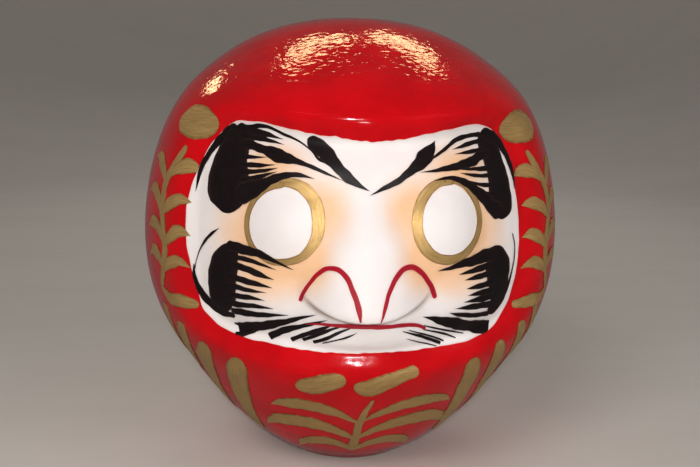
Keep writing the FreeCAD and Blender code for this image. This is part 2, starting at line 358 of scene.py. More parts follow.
def red_lacquer_finish():
    material, recipe, shader, place = finish_of("red_lacquer", 0.12, Specular_IOR_Level=0.46)
    height_up = recipe.add("ShaderNodeSeparateXYZ", {0: place}).outputs["Z"]
    crown = recipe.rise(height_up, *CROWN_WRINKLES)
    wrinkles = recipe.sum("MULTIPLY_ADD", crown, 0.85, 0.12)
    paper = recipe.shared(PASTED_PAPER, Place=place, Dents=0.5, Wrinkles=wrinkles, Grain=0.015)
    bump = recipe.bump(paper["Height"], PAPER_UNEVENNESS)
    cloud = recipe.rise(paper["Cloud"], 0.3, 0.7)
    colour = recipe.mix(cloud, (0.5, 0.0, 0.003, 1), (0.62, 0.0, 0.004, 1))
    # Painted shade: the lacquer is painted darker towards the floor, standing in for the shadow
    # under the body.
    foot_painted_shade = recipe.rise(height_up, *FOOT_PAINTED_SHADE)
    colour = recipe.mix(recipe.sum("MULTIPLY", foot_painted_shade, 0.45), colour, (0.2, 0.004, 0.004, 1))
    dust = recipe.sum("MULTIPLY", recipe.rise(recipe.noise(place, 420.0, 4.0, 0.7), 0.6, 0.8), 0.1)
    rough = recipe.sum("MULTIPLY_ADD", dust, 1.2, recipe.sum("MULTIPLY_ADD", cloud, 0.05, 0.1))
    rough = recipe.sum("MULTIPLY_ADD", crown, -0.04, rough)
    colour = recipe.mix(recipe.sum("MULTIPLY", dust, 0.2), colour, (0.6, 0.2, 0.17, 1))
    drive(recipe, shader, Base_Color=colour, Roughness=rough, Normal=bump)
    return material


def face_white_finish():
    material, recipe, shader, place = finish_of("face_white", 0.5, Specular_IOR_Level=0.35)
    paper = recipe.shared(PASTED_PAPER, Place=place, Dents=0.55, Wrinkles=0.08, Grain=0.03)
    streaks = recipe.shared(BRISTLE_MARKS, Way=brush_way(recipe), Bristles=900.0, Drag=90.0)
    height = recipe.sum("MULTIPLY_ADD", streaks["Streaks"], 0.03, paper["Height"])
    bump = recipe.bump(height, PAPER_UNEVENNESS)
    cloud = recipe.rise(paper["Cloud"], 0.3, 0.7)
    white = recipe.mix(cloud, (0.84, 0.77, 0.75, 1), (0.87, 0.81, 0.795, 1))
    blush = mask(recipe, "blush")
    uneven = recipe.sum("MULTIPLY_ADD", recipe.noise(place, 60.0, 3.0), 0.5, 0.9)
    blush = recipe.sum("MULTIPLY", blush, uneven)
    colour = recipe.mix(blush, white, (0.88, 0.53, 0.3, 1))
    # Painted shade: a brown wash under the nose stands in for the shadow of its overhang.
    painted_fold_shade = recipe.sum("MULTIPLY", mask(recipe, "painted_fold_shade"), 0.6)
    colour = recipe.mix(painted_fold_shade, colour, (0.28, 0.17, 0.12, 1))
    thin = recipe.rise(mask(recipe, "thin_edge"), 0.985, 1.0)
    colour = recipe.mix(recipe.sum("MULTIPLY", thin, 0.35), colour, (0.75, 0.42, 0.4, 1))
    drive(recipe, shader, Base_Color=colour, Normal=bump)
    return material


def brushed_finish(name, roughness, thick, thin, streaked, bristles, depth, **fixed):
    """Paint laid by a brush: streaks along its way, and thinner at the edges."""
    material, recipe, shader, place = finish_of(name, roughness, **fixed)
    streaks = recipe.shared(
        BRISTLE_MARKS, Way=brush_way(recipe), Bristles=bristles, Drag=bristles / 14
    )["Streaks"]
    paper = recipe.shared(PASTED_PAPER, Place=place, Dents=0.5, Wrinkles=0.08, Grain=0.02)
    colour = recipe.mix(streaks, thick, streaked)
    edge = recipe.rise(mask(recipe, "thin_edge"), 0.72, 1.0)
    patchy = recipe.rise(recipe.noise(place, 300.0, 3.0), 0.35, 0.65)
    worn = recipe.sum("MULTIPLY", edge, recipe.sum("MULTIPLY_ADD", patchy, 0.6, 0.4))
    colour = recipe.mix(worn, colour, thin)
    height = recipe.sum("MULTIPLY_ADD", streaks, depth, paper["Height"])
    bump = recipe.bump(height, PAPER_UNEVENNESS)
    rough = recipe.sum("MULTIPLY_ADD", streaks, 0.16, roughness - 0.08)
    drive(recipe, shader, Base_Color=colour, Roughness=rough, Normal=bump)
    return material


def pulp_finish(name, roughness, light, dark, fibre_scale, depth):
    """Bare paper, clay or glue: flecks of two tones and a matching unevenness."""
    material, recipe, shader, place = finish_of(name, roughness, Specular_IOR_Level=0.3)
    fibres = recipe.noise(recipe.stretch(place, (1.0, 3.0, 1.4)), fibre_scale, 6.0, 0.7)
    flecks = recipe.rise(fibres, 0.35, 0.68)
    colour = recipe.mix(flecks, light, dark)
    drive(recipe, shader, Base_Color=colour, Normal=recipe.bump(fibres, depth))
    return material


def foot_clay_finish():
    """Clay that was dipped in the lacquer, rubbed bare where it stands."""
    material, recipe, shader, place = finish_of("foot_clay", 0.4, Specular_IOR_Level=0.35)
    height_up = recipe.add("ShaderNodeSeparateXYZ", {0: place}).outputs["Z"]
    grain = recipe.noise(place, 500.0, 5.0, 0.65)
    edge = recipe.sum("MULTIPLY_ADD", grain, 0.004, height_up)
    bare = recipe.rise(edge, *FOOT_BARE)
    clay = recipe.mix(grain, (0.3, 0.17, 0.1, 1), (0.42, 0.27, 0.17, 1))
    dipped = recipe.mix(grain, (0.3, 0.0, 0.003, 1), (0.45, 0.0, 0.004, 1))
    rough = recipe.sum("MULTIPLY_ADD", bare, 0.45, 0.32)
    drive(recipe, shader, Base_Color=recipe.mix(bare, dipped, clay), Roughness=rough,
          Normal=recipe.bump(grain, 0.0006))
    return material


red_lacquer = red_lacquer_finish()
face_white = face_white_finish()
black_ink = brushed_finish(
    "black_ink", 0.46, (0.005, 0.002, 0.003, 1), (0.03, 0.013, 0.011, 1),
    (0.01, 0.005, 0.005, 1), 1400.0, 0.03, Specular_IOR_Level=0.28,
)
crimson_line = brushed_finish(
    "crimson_line", 0.46, (0.42, 0.003, 0.018, 1), (0.52, 0.03, 0.05, 1),
    (0.32, 0.003, 0.015, 1), 1600.0, 0.02, Specular_IOR_Level=0.3,
)
gold_paint = brushed_finish(
    "gold_paint", 0.44, (0.52, 0.3, 0.098, 1), (0.34, 0.15, 0.05, 1),
    (0.72, 0.48, 0.19, 1), 1100.0, 0.07, Metallic=0.6,
)
foot_clay = foot_clay_finish()
seam_paper = pulp_finish(
    "seam_paper", 0.85, (0.68, 0.6, 0.46, 1), (0.5, 0.42, 0.3, 1), 320.0, 0.0004
)
foot_paper = pulp_finish(
    "foot_paper", 0.8, (0.76, 0.71, 0.62, 1), (0.6, 0.54, 0.44, 1), 420.0, 0.0003
)
studio_floor = pulp_finish(
    "studio_floor", 0.7, (0.72, 0.68, 0.63, 1), (0.69, 0.65, 0.6, 1), 3.0, 0.0001
)
hide_glue = pulp_finish(
    "hide_glue", 0.28, (0.33, 0.19, 0.08, 1), (0.2, 0.1, 0.04, 1), 180.0, 0.0005
)
for node_name, material in {
    "base_weight": foot_clay,
    "base_paper": foot_paper,
    "weight_glue": hide_glue,
    "seam_strips_crown": seam_paper,
    "seam_strips_left": seam_paper,
    "seam_strips_right": seam_paper,
}.items():
    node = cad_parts[node_name]
    node.data.materials.clear()
    node.data.materials.append(material)


# ---- The lacquered skin ---------------------------------------------------
SKIN_CUTS = 100
SKIN_FRONT_CROWDING = 0.45       # how far the cube's directions lean to the face
SKIN_SMOOTH_BELOW = math.radians(40)


def lacquered_skin():
    bpy.ops.object.select_all(action="DESELECT")
    bpy.ops.mesh.primitive_cube_add(size=2)
    piece = start_piece("painted_skin")
    bpy.ops.object.mode_set(mode="EDIT")
    bpy.ops.mesh.select_all(action="SELECT")
    bpy.ops.mesh.subdivide(number_cuts=SKIN_CUTS)
    bpy.ops.object.mode_set(mode="OBJECT")
    directions = np.tan(coordinates(piece) * math.pi / 4)
    directions /= np.linalg.norm(directions, axis=1)[:, None]
    directions[:, 1] -= SKIN_FRONT_CROWDING
    place_vertices(piece, moulded_points(directions))
    bpy.ops.object.mode_set(mode="EDIT")
    bpy.ops.mesh.select_all(action="SELECT")
    bpy.ops.mesh.bisect(
        plane_co=(0, 0, SHELL_BOTTOM), plane_no=(0, 0, -1), clear_outer=True, use_fill=True
    )
    bpy.ops.object.mode_set(mode="OBJECT")
    bpy.ops.object.shade_smooth_by_angle(angle=SKIN_SMOOTH_BELOW)
    piece.data.materials.append(red_lacquer)
    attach(piece, "root")
    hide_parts("front_shell", "back_shell")


lacquered_skin()

# ---- Laying paint on the moulded surface ----------------------------------
PAINT_REACH = 142.0
PAINT_THICKNESS = 0.25 * MM
FACE_WHITE_PROUD = 0.45 * MM
EYE_WHITE_PROUD = 0.65 * MM
GOLD_PROUD = 0.4 * MM
RING_PROUD = 0.85 * MM
BLACK_PROUD = 1.0 * MM
CRIMSON_PROUD = 1.25 * MM
STROKE_STEP = 0.004 * MM         # each stroke lies this much over the one before
PAINT_SMOOTH_BELOW = math.radians(50)
AIM_STEPS = 30
OUTLINE_SAMPLES = 800
CELL_ALONG = 1.1                 # millimetres of stroke to a cell of its mesh
CELL_WIDE = 1.3
CELLS_ALONG_LIMITS = (14, 110)
CELLS_WIDE_LIMITS = (4, 26)
THINNEST_HALF = 0.05             # half width, in millimetres, of a stroke's bare tip
HAND_WAVES = (31.0, 17.0, 8.0)   # millimetres
RIM_WAVES = (7, 13, 22, 37, 58)  # waves in one turn round a patch's edge
hand = random.Random(11)


def aim_at(across, up):
    """Directions to places so many millimetres across the front and up the body."""
    azimuth = np.asarray(across, float) / PAINT_REACH
    height = np.asarray(up, float) * MM - WAIST_HEIGHT
    low = np.full(azimuth.shape, -math.pi / 2)
    high = np.full(azimuth.shape, math.pi / 2)
    for _ in range(AIM_STEPS):
        tilt = (low + high) / 2
        way = np.stack(
            [np.sin(azimuth) * np.cos(tilt), -np.cos(azimuth) * np.cos(tilt), np.sin(tilt)], -1
        )
        below = way[:, 2] * body_radius(way) < height
        low = np.where(below, tilt, low)
        high = np.where(below, high, tilt)
    return way


def on_doll(across, up, proud=0.0):
    return moulded_points(aim_at(across, up), proud)


def smooth_curve(points, samples):
    """A curve through given points, at samples from 0 at the first to 1 at the last."""
    points = np.array(points, float)
    gaps = np.hypot(*np.diff(points[:, :2], axis=0).T)
    places = np.concatenate([[0], np.cumsum(gaps)])
    places /= places[-1]
    slopes = np.gradient(points, places, axis=0)
    part = np.clip(np.searchsorted(places, samples, side="right") - 1, 0, len(places) - 2)
    width = (places[part + 1] - places[part])[:, None]
    t = ((samples - places[part]) / width[:, 0])[:, None]
    start, end = points[part], points[part + 1]
    leave, arrive = slopes[part] * width, slopes[part + 1] * width
    return (
        (2 * t ** 3 - 3 * t ** 2 + 1) * start
        + (t ** 3 - 2 * t ** 2 + t) * leave
        + (3 * t ** 2 - 2 * t ** 3) * end
        + (t ** 3 - t ** 2) * arrive
    )


def wobble(samples, length, size):
    """The unsteadiness of a hand: a few slow waves of random phase."""
    total = np.zeros(len(samples))
    for wave_length in HAND_WAVES:
        phase = hand.uniform(0, 2 * math.pi)
        total += np.sin(samples * length / wave_length * 2 * math.pi + phase) * wave_length ** 0.5
    return size * total / 8


def paint_sheet(name, cells_along, cells_wide):
    """A flat grid, with the share along and the side across of each of its points."""
    bpy.ops.object.select_all(action="DESELECT")
    bpy.ops.mesh.primitive_grid_add(
        x_subdivisions=cells_along, y_subdivisions=cells_wide, size=2, calc_uvs=True
    )
    piece = start_piece(name)
    flat = coordinates(piece)
    return piece, (flat[:, 0] + 1) / 2, flat[:, 1]


def set_stroke_map(piece, along, wide):
    """The piece's own map, in metres along the brush's way and across it."""
    corners = np.zeros(len(piece.data.loops), dtype=np.int32)
    piece.data.loops.foreach_get("vertex_index", corners)
    values = np.stack([along[corners], wide[corners]], 1)
    piece.data.uv_layers[0].name = "brush_way"
    piece.data.uv_layers[0].data.foreach_set("uv", values.astype(np.float32).ravel())


def set_mask(piece, name, values):
    mask = piece.data.attributes.new(name, "FLOAT", "POINT")
    mask.data.foreach_set("value", values.astype(np.float32))


def brush_stroke(name, points, proud, blunt=1.0, unsteady=0.16):
    """One stroke through (across, up, half width) points in millimetres."""
    points = np.array(points, float)
    length = np.hypot(*np.diff(points[:, :2], axis=0).T).sum()
    widest = points[:, 2].max()
    cells_along = int(np.clip(length / CELL_ALONG + 8, *CELLS_ALONG_LIMITS))
    cells_wide = int(np.clip(2 * widest / CELL_WIDE + 2, *CELLS_WIDE_LIMITS))
    piece, share, side = paint_sheet(name, cells_along, cells_wide)
    line_share = (1 - np.cos(math.pi * np.arange(cells_along + 1) / cells_along)) / 2
    line = smooth_curve(points, line_share)
    half = np.maximum(line[:, 2], 0)
    cap = np.maximum(half * blunt, 0.01)
    for gone in (line_share * length, (1 - line_share) * length):
        half = half * np.sqrt(1 - (1 - np.minimum(gone / cap, 1)) ** 2)
    loose = unsteady * np.minimum(half, 3)
    right_half = np.maximum(half + loose * wobble(line_share, length, 1), THINNEST_HALF)
    left_half = np.maximum(half + loose * wobble(line_share, length, 1), THINNEST_HALF)
    middle = on_doll(line[:, 0], line[:, 1])
    across_way = on_doll(line[:, 0] + 0.5, line[:, 1]) - on_doll(line[:, 0] - 0.5, line[:, 1])
    up_way = on_doll(line[:, 0], line[:, 1] + 0.5) - on_doll(line[:, 0], line[:, 1] - 0.5)
    outward = np.cross(across_way, up_way)
    forward = np.gradient(middle, axis=0)
    sideways = np.cross(outward, forward)
    sideways /= np.linalg.norm(sideways, axis=1)[:, None]
    at = np.rint(share * cells_along).astype(int)
    reach = side * np.where(side > 0, left_half[at], right_half[at]) * MM
    points_3d = middle[at] + sideways[at] * reach[:, None]
    points_3d[:, 2] -= WAIST_HEIGHT
    place_vertices(piece, moulded_points(points_3d, proud))
    offset = hand.uniform(0, 3)
    set_stroke_map(piece, line_share[at] * length * MM + offset, reach)
    set_mask(piece, "thin_edge", np.maximum(np.abs(side), np.abs(2 * line_share[at] - 1) ** 12))
    return piece


def painted_patch(name, outline, proud, cells, unsteady=0.0):
    """Paint that fills a given outline of (across, up) points in millimetres."""
    outline = np.array(outline, float)
    centre = (outline.max(0) + outline.min(0)) / 2
    closed = np.vstack([outline, outline[:1]])
    fine = smooth_curve(
        np.vstack([closed[-3:-1], closed, closed[1:3]]), np.linspace(0, 1, OUTLINE_SAMPLES)
    )
    angles = np.unwrap(np.arctan2(fine[:, 1] - centre[1], fine[:, 0] - centre[0]))
    radii = np.hypot(fine[:, 0] - centre[0], fine[:, 1] - centre[1])
    turned = np.abs(angles - angles[0])
    first_half = fine[: OUTLINE_SAMPLES // 2]
    begun = turned[np.argmin(np.hypot(*(first_half - outline[0]).T))]
    once_round = (turned >= begun) & (turned < begun + 2 * math.pi)
    angles, radii = angles[once_round], radii[once_round]
    order = np.argsort(angles % (2 * math.pi))
    piece, share, side = paint_sheet(name, *cells)
    flat = np.stack([share * 2 - 1, side], 1)
    reach = np.abs(flat).max(1)
    angle = np.arctan2(flat[:, 1], flat[:, 0])
    half = (outline.max(0) - outline.min(0)) / 2
    angle = np.arctan2(np.sin(angle) * half[1], np.cos(angle) * half[0])
    edge = np.interp(angle % (2 * math.pi), (angles % (2 * math.pi))[order], radii[order],
                     period=2 * math.pi)
    shake = sum(np.sin(angle * n + hand.uniform(0, 6)) for n in RIM_WAVES)
    edge = edge + unsteady * shake
    spots = centre + np.stack([np.cos(angle), np.sin(angle)], 1) * (edge * reach)[:, None]
    place_vertices(piece, on_doll(spots[:, 0], spots[:, 1], proud))
    set_stroke_map(piece, spots[:, 0] * MM, spots[:, 1] * MM)
    set_mask(piece, "thin_edge", reach)
    return piece, spots


def finish_paint(pieces, name, material):
    """Joins strokes of one colour and gives them the thickness of the paint."""
    bpy.ops.object.select_all(action="DESELECT")
    for piece in pieces:
        piece.select_set(True)
    bpy.context.view_layer.objects.active = pieces[0]
    if len(pieces) > 1:
        bpy.ops.object.join()
    coat = pieces[0]
    coat.name = name
    coat.data.name = name
    coat.data.materials.clear()
    coat.data.materials.append(material)
    body = coat.modifiers.new("paint_body", "SOLIDIFY")
    body.thickness = PAINT_THICKNESS
    body.offset = -1
    bpy.ops.object.modifier_apply(modifier="paint_body")
    bpy.ops.object.shade_smooth_by_angle(angle=PAINT_SMOOTH_BELOW)
    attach(coat, "root")


# ---- The painted face -----------------------------------------------------
FACE_OUTLINE = [
    (4, 228), (-26, 230), (-46, 232), (-68, 234.5), (-82, 235.3), (-94, 235), (-104, 232),
    (-111, 227.5), (-117, 220), (-122, 205), (-124, 190), (-123.5, 176), (-121.5, 163),
    (-118.5, 147), (-115.5, 132), (-112, 122), (-103, 115), (-85, 109.5), (-63, 106.5),
    (-43, 104.5), (-24, 103), (-4, 102.5), (16, 103), (37, 104), (58, 105.5), (81, 108.5),
    (97, 114), (106, 124), (110, 140), (112, 158), (113, 176), (113, 195), (112, 212),
    (108.5, 224.5), (100.5, 232), (84, 235), (56, 233), (34, 230.5),
]
EYES = {
    "left": {
        "white": [(-52, 202), (-65, 198), (-73.5, 182), (-69, 167), (-56, 160.5), (-45, 161.5),
                  (-34, 172), (-32, 184), (-37, 196)],
        "ring": [(-52, 203.5, 2.3), (-64, 200.5, 2.2), (-73, 191, 2), (-75.5, 180, 1.9),
                 (-72, 167.5, 2.0), (-63, 160.5, 2.1), (-51, 158.6, 2.1), (-39, 162.5, 2.4),
                 (-31.5, 171.5, 3.1), (-29.3, 183, 3.7), (-32, 193.5, 3.8), (-39.5, 201.5, 3.3),
                 (-50, 204.2, 2.5), (-55, 203.6, 1.8)],
    },
    "right": {
        "white": [(53, 204), (41, 199), (33, 184), (35, 172), (44, 164), (55, 163.5),
                  (67, 171), (71.5, 183), (67, 197)],
        "ring": [(56, 206, 2.2), (44, 204.5, 2.6), (34, 196, 2.9), (30, 184, 3.1),
                 (32.5, 171.5, 3.2), (40, 163, 3.1), (50, 160.3, 3), (61, 163, 2.7),
                 (70.5, 171.5, 2.4), (74.4, 183, 2.2), (71.5, 195, 2.1), (64, 203.5, 2.2),
                 (54, 206.4, 2.2), (49, 206, 1.6)],
    },
}
# middle across, middle up, half width, half height, how strong
BLUSHES = [
    (-62, 176, 48, 44, 1.0), (60, 178, 48, 44, 1.0), (-27, 190, 26, 26, 0.8),
    (27, 191, 26, 26, 0.8), (-36, 160, 22, 26, 0.9), (34, 160, 22, 24, 0.9),
    (-60, 150, 34, 22, 0.7), (58, 152, 34, 20, 0.7), (-62, 214, 34, 18, 0.8),
    (62, 214, 34, 18, 0.8),
]
# middle across, middle up, half width, half height
KEPT_WHITE = [(0, 172, 13, 90), (-118, 180, 20, 60), (112, 180, 18, 60), (0, 118, 60, 22)]


def soft_spots(across, up, spots):
    left = np.ones(len(across))
    for x, z, half_width, half_height, *strength in spots:
        away = np.hypot((across - x) / half_width, (up - z) / half_height)
        left *= 1 - (strength[0] if strength else 1) * ease(1.15 - away) ** 1.2
    return 1 - left


def painted_nose_fold_shade(across, up):
    """Painted shade under the nose, standing in for the shadow of its overhang: darkest just above
    the arc, fading at the wings.
    """
    x = HALF_DEPTH * np.sin(across / PAINT_REACH)
    climb = (up * MM - nose_underside(x)) / NOSE_UNDERCUT
    return ease(1.2 - np.abs(climb - 0.25) * 1.6) * ease(3 - 3 * np.abs(x) / NOSE_HALF_WIDTH)


def painted_face():
    piece, spots = painted_patch(
        "face_white", FACE_OUTLINE, FACE_WHITE_PROUD, (190, 130), unsteady=0.1
    )
    across, up = spots.T
    blush = soft_spots(across, up, BLUSHES) * (1 - soft_spots(across, up, KEPT_WHITE))
    set_mask(piece, "blush", blush)
    # Painted shade under the nose's overhang.
    set_mask(piece, "painted_fold_shade", painted_nose_fold_shade(across, up))
    finish_paint([piece], "face_white", face_white)
    whites = []
    rings = []
    for side, eye in EYES.items():
        white, _ = painted_patch("eye_white", eye["white"], EYE_WHITE_PROUD, (36, 36), 0.05)
        set_mask(white, "blush", np.zeros(len(white.data.vertices)))
        whites.append(white)
        rings.append(brush_stroke("eye_ring", eye["ring"], RING_PROUD, unsteady=0.06))
    finish_paint(whites, "eye_whites", face_white)
    finish_paint(rings, "eye_rings", gold_paint)


# ---- Black brows, beard and whiskers --------------------------------------
LEFT_BROW = [
    [(-88, 234.6, 6.6), (-90.5, 230, 8.6), (-93.5, 221, 11.3), (-95, 210, 14), (-93.5, 200, 15.5),
     (-91.5, 191, 13), (-91, 184, 9)],
    [(-91, 232.3, 3.2), (-100.5, 230, 3.3), (-108, 226, 2.7), (-114, 219, 2.2), (-118, 211, 1.7),
     (-119.5, 203, 1.1), (-119.5, 194, 0)],
    [(-86, 233.3, 1.5), (-73, 233.8, 1.3), (-65, 233, 1.1), (-57, 231, 0.9), (-46, 228, 0.5),
     (-35, 221.5, 0.55), (-31, 218, 0.9), (-27, 217, 1.1), (-22, 214, 0.6)],
    [(-90, 233, 3), (-84, 232.3, 2.6), (-72, 231, 1.7), (-57, 228.7, 0)],
    [(-90, 229, 2), (-81, 229, 1.8), (-68, 228, 1.2), (-56, 225.7, 0)],
    [(-90, 225.5, 3), (-82, 224.8, 2.6), (-70, 222.5, 2.8), (-60, 219.8, 4), (-52, 217.5, 2.9),
     (-42, 215.5, 1.6), (-31, 212, 1), (-15, 206.5, 0)],
    [(-88, 217.5, 1.6), (-80, 217.5, 1.3), (-66, 218, 0)],
    [(-88, 213.5, 1.7), (-82, 213.2, 1.5), (-70, 213, 1.2), (-59, 213.8, 0)],
    [(-86, 208.5, 1.7), (-79, 209, 1.5), (-67, 210.2, 1.1), (-57, 212, 0)],
    [(-84, 204, 1.7), (-77, 205.2, 1.5), (-68, 207.2, 1.2), (-57, 210, 0)],
    [(-86, 195, 8), (-78, 197.5, 6.2), (-70, 201.2, 4.3), (-61, 205.2, 2.7), (-51, 208, 1.9),
     (-42, 208.6, 1.1), (-33, 207, 0)],
    [(-39.5, 229.5, 1.8), (-36, 227.6, 3.4), (-30, 223.6, 4.4), (-24, 218.6, 3.9),
     (-17, 212.6, 3.2), (-10.5, 207.3, 2.4), (-5, 204, 1.3), (1, 201, 0)],
]
RIGHT_BROW = [
    [(88.5, 232.6, 6), (91, 226, 7.6), (94, 216, 8.6), (95.5, 207, 9.3), (96, 198, 9.6),
     (95.5, 189, 9.3), (93.5, 181, 7)],
    [(86, 231.8, 2.6), (91.5, 231.6, 3.4), (98, 229.4, 3.2), (105, 225, 2.8), (109.5, 218, 2.3),
     (112, 209, 1.5), (111.5, 198, 0)],
    [(35, 215.5, 0.4), (42, 218.5, 0.7), (52, 223.5, 1), (63, 229, 1.2), (74, 231, 1.3),
     (86, 231.8, 1.4)],
    [(90, 229.5, 2), (83, 228.3, 1.5), (72, 226.4, 1.3), (59, 223.8, 0)],
    [(91, 224, 1.5), (83, 223.2, 1.3), (72, 222.2, 1.1), (60, 221, 0)],
    [(92, 221, 2.6), (83, 219.6, 2.5), (72, 216.6, 2.9), (60, 213.8, 2.3), (48, 212.2, 1.3),
     (33, 211, 0)],
    [(92, 212.5, 1.5), (83, 212, 1.3), (72, 212, 1.1), (60, 212, 0)],
    [(92, 208, 1.5), (84, 207.9, 1.3), (74, 208.3, 1.1), (61, 210, 0)],
    [(92, 202.5, 1.5), (84, 202.3, 1.3), (76, 203.2, 1), (66, 206, 0)],
    [(92, 197, 1.5), (86, 196.8, 1.3), (80, 198.2, 1), (73, 201, 0)],
    [(95, 185, 6), (89, 188, 5), (82, 193, 4), (74, 199.4, 3.1), (65, 204.6, 2.1),
     (57, 207, 1.4), (50, 207.2, 0.9), (42, 206, 0)],
    [(47, 229, 0), (44, 225.8, 2.1), (38.5, 220.5, 4.2), (32, 215.2, 3.4), (25, 210.4, 2.4),
     (16, 205.4, 1.6), (8, 201.8, 0.9), (1, 198.5, 0)],
]
LEFT_BEARD = [
    [(-81, 166, 2.6), (-86, 162, 6.2), (-90.5, 155, 9.4), (-93, 147, 11), (-94, 138, 11.4),
     (-94, 129.5, 11.4), (-91, 123.5, 8)],
    [(-116.5, 150, 0.2), (-116.5, 142, 1.3), (-113.5, 133, 2.1), (-106, 126, 2.7),
     (-96, 121.7, 2.6), (-86, 121, 1.8)],
    [(-90, 165, 3.4), (-83, 164.4, 3.1), (-68, 162.8, 2.4), (-56, 159.3, 1.3), (-44, 154.5, 0)],
    [(-85, 158.7, 1.5), (-75, 158, 1.4), (-66, 156.4, 1), (-55, 153.7, 0)],
    [(-88, 153.5, 2), (-78, 152.8, 2), (-67, 150.4, 1.6), (-56, 147.6, 0)],
    [(-90, 146.7, 2), (-82, 146, 2), (-70, 144.8, 1.6), (-57, 142.8, 0)],
    [(-90, 141.3, 1.7), (-83, 141, 1.6), (-72, 140.2, 1.2), (-61, 139.8, 0)],
    [(-90, 135.6, 1.7), (-82, 135.5, 1.6), (-72, 135.8, 1.3), (-62, 135, 0)],
    [(-90, 130, 1.9), (-80, 130.2, 1.8), (-69, 130.8, 1.5), (-57, 130, 0)],
    [(-88, 124.5, 2.2), (-77, 125, 2.1), (-64, 125.5, 1.7), (-48, 126, 0)],
    [(-96.5, 174.5, 0), (-102.5, 170.4, 0.9), (-107.5, 166, 0.9), (-111.8, 160, 0.4),
     (-114.5, 153.5, 0.25), (-116, 147, 0.25)],
]
RIGHT_BEARD = [
    [(86, 165, 3), (89, 160, 7.4), (90.5, 154, 10), (91.5, 147, 10.6), (92.5, 140, 9.8),
     (93, 133, 8.6), (91, 127, 6.4), (86.5, 122.5, 4)],
    [(105, 171, 0.3), (107, 165, 0.3), (107.3, 155, 0.4), (105.5, 146, 0.6), (103, 138, 1.1),
     (99.5, 131, 1.8)],
    [(89, 160.5, 4.6), (78, 160, 4), (68, 158, 3), (56, 156, 1.8), (43.5, 153.8, 0)],
    [(84, 153.5, 2), (77, 153, 1.9), (68, 152, 1.5), (58.5, 150.5, 0)],
    [(86, 148.5, 1.8), (79, 148.3, 1.7), (71, 148, 1.4), (62.5, 146.8, 0)],
    [(88, 143.3, 2.1), (82, 143, 2), (72, 142.3, 1.6), (64, 141.6, 0)],
    [(89, 138.3, 2.1), (83, 138.2, 2), (74, 138, 1.6), (65, 137.4, 0)],
    [(87, 134.3, 1.9), (80, 134.2, 1.9), (71, 134.2, 1.5), (62.5, 133.4, 0)],
    [(86, 129, 2.2), (80, 129.2, 2.2), (68, 130, 1.7), (57.5, 129.6, 0)],
    [(88, 122.5, 1.8), (81, 122.8, 1.8), (69, 124, 1.6), (60, 125.6, 1.1), (54, 127, 0)],
]
WHISKERS = [
    [(-85, 113, 4.2), (-78, 114.4, 4.1), (-68, 116.6, 3.4), (-57, 119.8, 2.5), (-44, 123.6, 1.4),
     (-30.5, 127.4, 0)],
    [(-88, 115.6, 0.5), (-83, 115.4, 1.2), (-76, 115.6, 0.6)],
    [(-87, 110.4, 0.9), (-83.5, 110.4, 1.3), (-77, 112.4, 0.6)],
    [(-63, 110, 2.1), (-50, 116.4, 2), (-37, 120, 1.3), (-23.5, 124.3, 0)],
    [(-48, 109.6, 1.4), (-35, 115.4, 1.4), (-26, 118.8, 0.9), (-19.5, 121.4, 0)],
    [(-40, 110.6, 1), (-30, 114.8, 1.1), (-20, 118.8, 0.7), (-10.5, 121.3, 0)],
    [(-33, 109.6, 1), (-23, 113.8, 1.1), (-14, 117.8, 0.7), (-6.5, 120.4, 0)],
    [(-27, 109.6, 0.3), (-17, 112.8, 0.5), (-10, 115, 0.5), (-5, 117.2, 0)],
    [(36.5, 125.4, 0), (47, 122.7, 2.2), (59, 119.4, 3.7), (70, 116.3, 4.2), (80, 114.4, 4.1),
     (90.5, 113.2, 3.4)],
    [(38, 119.4, 0.3), (53, 115.2, 0.6), (69.5, 110.8, 0.3)],
    [(38, 117, 0.3), (52, 113, 0.6), (63.5, 108.8, 0.4)],
    [(28, 117.4, 0.2), (42, 112.8, 0.6), (54.5, 107.8, 0.4)],
    [(24, 117, 0.2), (37, 112.8, 0.9), (52, 106.7, 1)],
    [(27, 112.3, 0.1), (38, 108.3, 0.4), (49, 105.6, 0.3)],
]


def black_strokes():
    pieces = []
    for group, blunt in ((LEFT_BROW, 1), (RIGHT_BROW, 1), (LEFT_BEARD, 1), (RIGHT_BEARD, 1),
                         (WHISKERS, 0.35)):
        for points in group:
            proud = BLACK_PROUD + STROKE_STEP * len(pieces)
            pieces.append(brush_stroke("black_stroke", points, proud, blunt))
    finish_paint(pieces, "black_brows_and_beard", black_ink)


# ---- Crimson nostrils and mouth -------------------------------------------
CRIMSON_LINES = [
    [(-40.5, 135.5, 1), (-38, 141, 1.1), (-34, 147.5, 1.15), (-29, 153.6, 1.2), (-23, 157.3, 1.3),
     (-17, 157.3, 1.4), (-12.5, 154, 1.5), (-9, 148, 1.55), (-6.3, 142, 1.5), (-5, 136, 1.3),
     (-4.2, 131.5, 0.4)],
    [(6.5, 131, 0.2), (8.6, 138, 1), (11.2, 146, 1.3), (15, 152.3, 1.4), (20, 157, 1.5),
     (25.3, 158.2, 1.55), (31, 155.3, 1.6), (36.2, 149.8, 1.6), (41, 142.5, 1.5), (43.2, 137, 1.3)],
    [(-37.5, 121, 0.2), (-28, 121.3, 0.7), (-17, 121, 1.1), (-7, 120.6, 1.3), (5, 120.2, 1.4),
     (17, 120.3, 1.2), (28, 120.6, 1.2), (34, 119.8, 1.2), (39.5, 117.4, 0.8)],
]


def crimson_lines():
    pieces = []
    for points in CRIMSON_LINES:
        proud = CRIMSON_PROUD + STROKE_STEP * len(pieces)
        pieces.append(brush_stroke("crimson_stroke", points, proud, unsteady=0.12))
    finish_paint(pieces, "crimson_nostrils_and_mouth", crimson_line)


